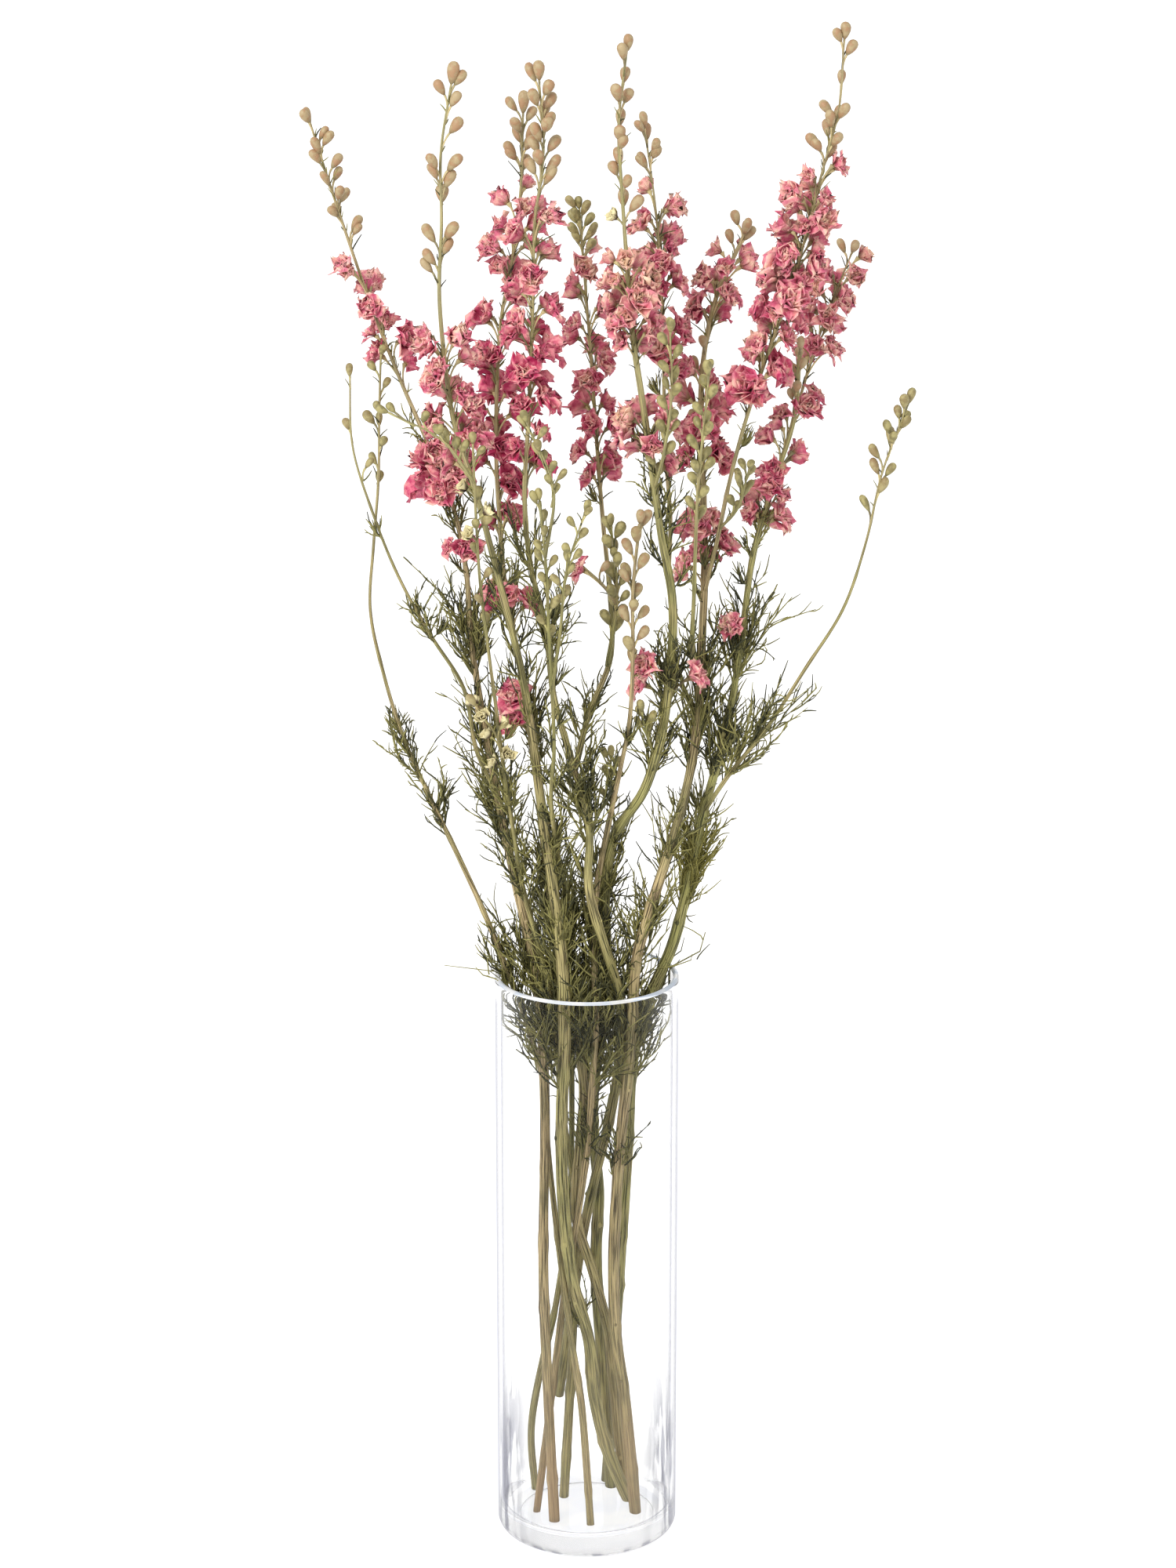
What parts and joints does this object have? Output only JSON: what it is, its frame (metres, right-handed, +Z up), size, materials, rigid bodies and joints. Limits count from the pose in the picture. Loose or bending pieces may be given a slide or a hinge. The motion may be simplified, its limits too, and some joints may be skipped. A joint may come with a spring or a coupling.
{
  "type": "bunch of dried larkspur in a glass cylinder vase",
  "caption": "Loose bunch of dried double larkspur, pink bloom spikes with buds and feathery leaves on long bare stems, standing in a tall clear glass cylinder vase.",
  "frame": {"origin": "Centre of the vase's flat underside.", "axes": "+Z up, along the vase and the bunch; +X to the right and +Y away from the viewer of the picture."},
  "size_m": [0.3167, 0.1767, 0.8371],
  "materials": {
    "clear_glass": "clear polished soda glass, thick at the floor",
    "plant": "dried plant: olive-tan ridged stems, olive thread leaves, tan buds, rose-pink papery blooms",
    "thin_plant": "dried plant: thin olive stems with small green buds and thread leaves"
  },
  "bodies": {
    "root": {"vase": "clear_glass", "stem_a": "plant", "stem_b": "plant", "stem_c": "plant", "stem_d": "plant", "stem_e": "plant", "stem_f": "plant", "stem_g": "plant", "stem_h": "thin_plant", "stem_i": "thin_plant", "stem_j": "thin_plant", "stem_k": "thin_plant"}
  },
  "joints": []
}
